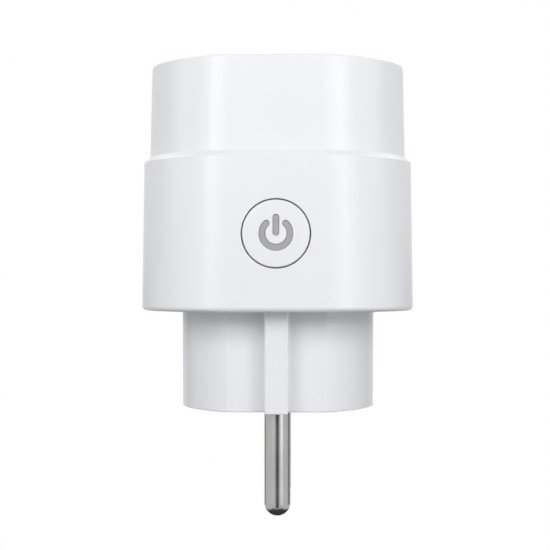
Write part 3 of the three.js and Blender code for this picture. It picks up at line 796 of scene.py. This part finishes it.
# %% Shader helpers
class Wire:
    """An output socket that can be added, subtracted and multiplied."""

    def __init__(self, finish, socket):
        self.finish = finish
        self.socket = socket

    def maths(self, operation, first, second):
        """One Math node on two wires or numbers."""
        return self.finish.node("ShaderNodeMath", {"operation": operation}, {0: first, 1: second})

    # Each operator is one Math node: this wire plus, minus or times the other value.
    def __add__(self, other):
        return self.maths("ADD", self, other)

    def __sub__(self, other):
        return self.maths("SUBTRACT", self, other)

    def __rsub__(self, other):
        return self.maths("SUBTRACT", other, self)

    def __mul__(self, other):
        return self.maths("MULTIPLY", self, other)

    __radd__ = __add__
    __rmul__ = __mul__


class Finish:
    """A material, or a world, under construction."""

    def __init__(self, name, owner=None):
        self.material = owner or bpy.data.materials.new(name)
        self.material.use_nodes = True
        self.tree = self.material.node_tree
        self.tree.nodes.clear()

    @cached_property
    def place(self):
        """The object's own coordinates."""
        return self.node("ShaderNodeTexCoord", output="Object")

    def node(self, kind, settings=None, inputs=None, output=0):
        """Adds a node: its settings first, then the values or links of its sockets."""
        made = self.tree.nodes.new(kind)
        for key, value in (settings or {}).items():
            setattr(made, key, value)
        for key, value in (inputs or {}).items():
            if isinstance(value, Wire):
                self.tree.links.new(value.socket, made.inputs[key])
            else:
                made.inputs[key].default_value = value
        return None if output is None else Wire(self, made.outputs[output])

    def noise(self, scale, detail=2.0, where=None):
        """A smooth random pattern over the object's own coordinates."""
        inputs = {"Vector": where or self.place, "Scale": scale, "Detail": detail}
        return self.node("ShaderNodeTexNoise", {}, inputs)

    def blend(self, factor, first, second):
        """A colour between two colours."""
        colours = {"Factor": factor, 6: first, 7: second}
        return self.node("ShaderNodeMix", {"data_type": "RGBA"}, colours, output=2)

    def bump(self, height, depth, under=None):
        """Turns a height pattern into a normal; depth is in metres."""
        inputs = {"Height": height, "Distance": depth, "Strength": 1.0}
        if under:
            inputs["Normal"] = under
        return self.node("ShaderNodeBump", {}, inputs)

    def end(self, shader, kind="ShaderNodeOutputMaterial"):
        """Links a shader to the tree's output, and returns the material."""
        self.node(kind, {}, {"Surface": shader}, output=None)
        return self.material

    def close(self, **inputs):
        """Ends the tree in a Principled shader, and returns the material."""
        named = {key.replace("_", " "): value for key, value in inputs.items()}
        return self.end(self.node("ShaderNodeBsdfPrincipled", {}, named))


def grey(value, warmth=0.0):
    """A neutral colour, with a little warmth or coolness."""
    return (value * (1 + warmth), value, value * (1 - warmth), 1.0)


# %% [markdown]
# ## Finishes
#
# The housing is a glossy white moulding with a hint of blue. Under the gloss the tool's
# surface leaves a very fine grain, and broad, faint sink marks make the reflections wander.

# %% Moulded plastic
def moulded(name, light, dark, rough, grain=0.000004, waviness=0.00001):
    """White or coloured plastic. Seven tenths cloud and three tenths speck mix its two shades; a
    grain rides on a slow wave in the surface; and the patterns vary the roughness a little."""
    finish = Finish(name)
    cloud = finish.noise(90.0)
    speck = finish.noise(5200.0, 3.0)
    wave = finish.noise(55.0, 1.0)
    colour = finish.blend(cloud * 0.7 + speck * 0.3, dark, light)
    relief = finish.bump(speck, grain, finish.bump(wave, waviness))
    dull = cloud * 0.05 + speck * 0.05 + (rough - 0.05)
    return finish.close(Base_Color=colour, Roughness=dull, Normal=relief, IOR=1.49)


shell_white = moulded("shell_white", (0.83, 0.835, 0.86, 1), (0.80, 0.805, 0.83, 1), 0.31)
insert_white = moulded("insert_white", (0.78, 0.785, 0.80, 1), (0.74, 0.745, 0.76, 1), 0.44)
symbol_grey = moulded("symbol_grey", (0.385, 0.385, 0.39, 1), (0.34, 0.34, 0.345, 1), 0.4)
black_plastic = moulded("black_plastic", grey(0.035), grey(0.022), 0.5)
smoke_plastic = moulded("smoke_plastic", grey(0.07, -0.05), grey(0.05, -0.05), 0.4)
blue_lacquer = moulded("blue_lacquer", (0.05, 0.13, 0.38, 1), (0.04, 0.10, 0.31, 1), 0.3)
yellow_plastic = moulded("yellow_plastic", (0.62, 0.43, 0.05, 1), (0.55, 0.37, 0.04, 1), 0.42)


# %% [markdown]
# Plated metal shows what is round it, so its own pattern is faint: turning marks that run
# round a pin, or brushing along a strip, and slightly duller patches where it was handled.

# %% Metals
def plated(name, bright, dull, rough, stretch=(1.0, 1.0, 12.0), marks=2600.0):
    """Metal with fine marks, a noise squeezed along the axis with the largest stretch, so that
    they run across it. Slow patches mix its two shades and make it up to a tenth duller."""
    finish = Finish(name)
    squeezed = finish.node("ShaderNodeMapping", {}, {"Vector": finish.place, "Scale": Vector(stretch)})
    line = finish.noise(marks, 2.0, squeezed)
    patch = finish.noise(240.0, 2.0)
    colour = finish.blend(patch, dull, bright)
    relief = finish.bump(line, 0.0000012)
    haze = patch * 0.1 + line * 0.06 + (rough - 0.08)
    return finish.close(Base_Color=colour, Metallic=1.0, Roughness=haze, Normal=relief)


nickel = plated("nickel", (0.45, 0.447, 0.445, 1), (0.38, 0.378, 0.376, 1), 0.24)
brass = plated("brass", (0.78, 0.60, 0.30, 1), (0.62, 0.45, 0.20, 1), 0.3, (4.0, 1.0, 1.0))
steel = plated("steel", (0.55, 0.55, 0.56, 1), (0.42, 0.42, 0.43, 1), 0.34, (6.0, 6.0, 1.0))
copper = plated("copper", (0.70, 0.33, 0.17, 1), (0.52, 0.22, 0.11, 1), 0.32, (1.0, 10.0, 1.0))


# %% [markdown]
# The boards are glass laminate under green resist. Tracks show through the resist as
# slightly lighter bands, which a stepped pattern of stretched cells gives.

# %% Circuit board
def laminate():
    """Green resist with lighter track-like bands, where the distance to a cell's middle passes a
    limit, and a woven grain. The bands count for seven tenths of the mix of shades."""
    finish = Finish("laminate")
    cells = finish.node("ShaderNodeTexVoronoi", {"distance": "MANHATTAN"},
                        {"Vector": finish.place, "Scale": 420.0})
    tracks = finish.node("ShaderNodeMath", {"operation": "GREATER_THAN"}, {0: cells, 1: 0.42})
    weave = finish.noise(3000.0, 1.0)
    colour = finish.blend(tracks * 0.7 + weave * 0.3, (0.02, 0.12, 0.05, 1), (0.05, 0.24, 0.10, 1))
    relief = finish.bump(tracks, 0.00002)
    return finish.close(Base_Color=colour, Roughness=weave * 0.15 + 0.32, Normal=relief)


green_board = laminate()

FINISHES = {
    "shell": shell_white, "insert": insert_white, "translucent": symbol_grey,
    "nickel": nickel, "brass": brass, "steel": steel, "copper": copper, "board": green_board,
    "black": black_plastic, "smoke": smoke_plastic, "blue": blue_lacquer, "yellow": yellow_plastic,
}

# %% [markdown]
# ## Which piece has which finish
#
# The record gives every CAD node a material slot, and a fine piece takes the slot of the
# node that it stands for, so one table dresses both kinds.

# %% Give every piece its finish
slot_of = {part["node"]: part["material_slot"] for part in frame["record"]["subparts"]}
for name, node in frame["nodes"].items():
    node.data.materials.clear()
    node.data.materials.append(FINISHES[slot_of[name]])
new_pieces = [o for o in bpy.data.objects if o.type == "MESH" and o.get("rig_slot")]
for piece in new_pieces:
    piece.data.materials.clear()
    piece.data.materials.append(FINISHES[piece["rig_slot"]])
print("finishes on", len(slot_of), "CAD nodes and", len(new_pieces), "fine pieces")


# %% [markdown]
# ## Studio
#
# The object hangs in the air with its pins down, so the floor is well below it. Floor and
# surroundings are plain white to the camera, in metal and through glass, and give everything
# else a dimmer fill. A white tent alone would leave the pins flat, so four grey cards stand
# where the camera doesn't see them, and metal mirrors them as dark lines.

# %% Floor and world
FLOOR_DROP = 0.16
FLOOR_REACH = 3.0
FILL = 0.20


def white_rays(finish):
    """1 for a ray that shows the background: from the camera, off gloss or through glass."""
    return sum(finish.node("ShaderNodeLightPath", output=f"Is {kind} Ray")
               for kind in ("Camera", "Glossy", "Transmission"))


def stage_floor():
    """A floor that shows plain white and lights the object like an ordinary pale surface."""
    reach, level = FLOOR_REACH / MM, -FLOOR_DROP / MM
    corners = [(-reach, -reach, level), (reach, -reach, level), (reach, reach, level), (-reach, reach, level)]
    plane = make_mesh("floor", corners, [(0, 1, 2, 3)])
    finish = Finish("floor_white")
    pale = finish.node("ShaderNodeBsdfDiffuse", {}, {"Color": grey(0.75)})
    white = finish.node("ShaderNodeEmission", {}, {"Color": grey(1.0), "Strength": 1.0})
    finish.end(finish.node("ShaderNodeMixShader", {}, {0: white_rays(finish), 1: pale, 2: white}))
    plane.data.materials.append(finish.material)


def light_world():
    """Plain white to the rays that show it, and a dimmer, slightly cool fill to the others."""
    finish = Finish("studio", bpy.data.worlds.new("studio"))
    cool = (0.97, 0.985, 1.0, 1)
    fill = finish.node("ShaderNodeBackground", {}, {"Color": cool, "Strength": FILL})
    white = finish.node("ShaderNodeBackground", {}, {"Color": grey(1.0), "Strength": 1.0})
    mixed = finish.node("ShaderNodeMixShader", {}, {0: white_rays(finish), 1: fill, 2: white})
    bpy.context.scene.world = finish.end(mixed, "ShaderNodeOutputWorld")


def place_at(azimuth, distance, height):
    """A point in metres at an azimuth to the right of the camera's side."""
    turn = math.radians(azimuth)
    return math.sin(turn) * distance, -math.cos(turn) * distance, height


def dark_card(name, shade_of_grey, *corners):
    """A card that only metal, gloss and light meet: its corners are azimuth, distance, height."""
    places = np.array([place_at(*corner) for corner in corners])
    card = make_mesh(name, places / MM, [range(len(corners))])
    finish = Finish(name)
    dull = finish.node("ShaderNodeBsdfDiffuse", {}, {"Color": grey(shade_of_grey)})
    card.data.materials.append(finish.end(dull))
    card.visible_camera = False


CARD_LOW = 0.005 - FLOOR_DROP
stage_floor()
light_world()
dark_card("front_flag", 0.08, (-14, 0.16, CARD_LOW), (15, 0.16, CARD_LOW),
          (15, 0.55, 0.06), (-14, 0.55, 0.06))
dark_card("left_flag", 0.4, (-140, 0.5, CARD_LOW), (-120, 0.5, CARD_LOW),
          (-120, 0.5, 0.04), (-140, 0.5, 0.04))
dark_card("right_flag", 0.4, (140, 0.5, CARD_LOW), (106, 0.5, CARD_LOW),
          (106, 0.5, 0.04), (140, 0.5, 0.04))
dark_card("floor_flag", 0.10, (-45, 0.17, CARD_LOW), (45, 0.17, CARD_LOW),
          (150, 0.4, CARD_LOW), (-150, 0.4, CARD_LOW))

# %% [markdown]
# ## Lamps
#
# Two large boxes in front carry most of the light. Two smaller and brighter ones, lower and
# further out, draw the upright bands on the rounded corners and the bright line on a pin.
# The others keep the edges and the back from going grey. A lamp is placed by its direction
# and distance, which is easier to adjust than three coordinates and three angles.

# %% Soft boxes
MIDDLE = Vector((0, 0, (PIN_TIP + TOP) / 2 * MM))
LAMP_DISTANCE = 0.9


def soft_box(name, azimuth, elevation, width, height, power):
    """A rectangular lamp aimed at the object's middle. Its azimuth turns to the right of the
    camera's side, and the unit vector away from the middle times the distance is its place."""
    lamp = bpy.data.lights.new(name, "AREA")
    lamp.shape = "RECTANGLE"
    lamp.size, lamp.size_y = width, height
    lamp.energy = power
    holder = bpy.data.objects.new(name, lamp)
    bpy.context.scene.collection.objects.link(holder)
    a, e = math.radians(azimuth), math.radians(elevation)
    away = Vector((math.sin(a) * math.cos(e), -math.cos(a) * math.cos(e), math.sin(e)))
    holder.location = MIDDLE + away * LAMP_DISTANCE
    holder.rotation_euler = away.to_track_quat("Z", "Y").to_euler()
    holder.visible_camera = False


# name, azimuth, elevation, width, height, power
LAMPS = [
    ("front_left", -27, 23, 0.60, 0.42, 2.85),
    ("front_right", 26, 23, 0.60, 0.42, 2.85),
    ("band_left", -33, 9, 0.26, 0.24, 0.52),
    ("band_right", 39, 4, 0.28, 0.40, 0.85),
    ("side_left", -78, 20, 0.30, 0.42, 0.75),
    ("side_right", 78, 20, 0.30, 0.42, 0.75),
    ("high_box", 0, 58, 1.10, 0.42, 0.25),
    ("back_left", -145, 48, 0.60, 0.50, 1.3),
    ("back_right", 145, 48, 0.60, 0.50, 1.3),
]
for lamp in LAMPS:
    soft_box(*lamp)

# %% [markdown]
# ## Camera
#
# A long lens, level with the lower part of the housing and turned a little to one side. The
# shifts move the picture on the sensor, so the upright edges stay upright; tilting the
# camera instead would make them converge.

# %% Camera
EYE_HEIGHT = 0.02365
EYE_DISTANCE = 0.23307
EYE_TURN = 0.016
EYE_SHIFT = (-0.005818, 0.007927)
eye = bpy.data.cameras.new("eye")
eye.sensor_width = 36.0
eye.lens = 80.03
eye.shift_x, eye.shift_y = EYE_SHIFT
camera = bpy.data.objects.new("eye", eye)
bpy.context.scene.collection.objects.link(camera)
camera.location = (EYE_DISTANCE * math.sin(EYE_TURN), -EYE_DISTANCE * math.cos(EYE_TURN), EYE_HEIGHT)
camera.rotation_euler = (math.pi / 2, 0, EYE_TURN)
bpy.context.scene.camera = camera
bpy.context.scene.view_settings.view_transform = "Standard"
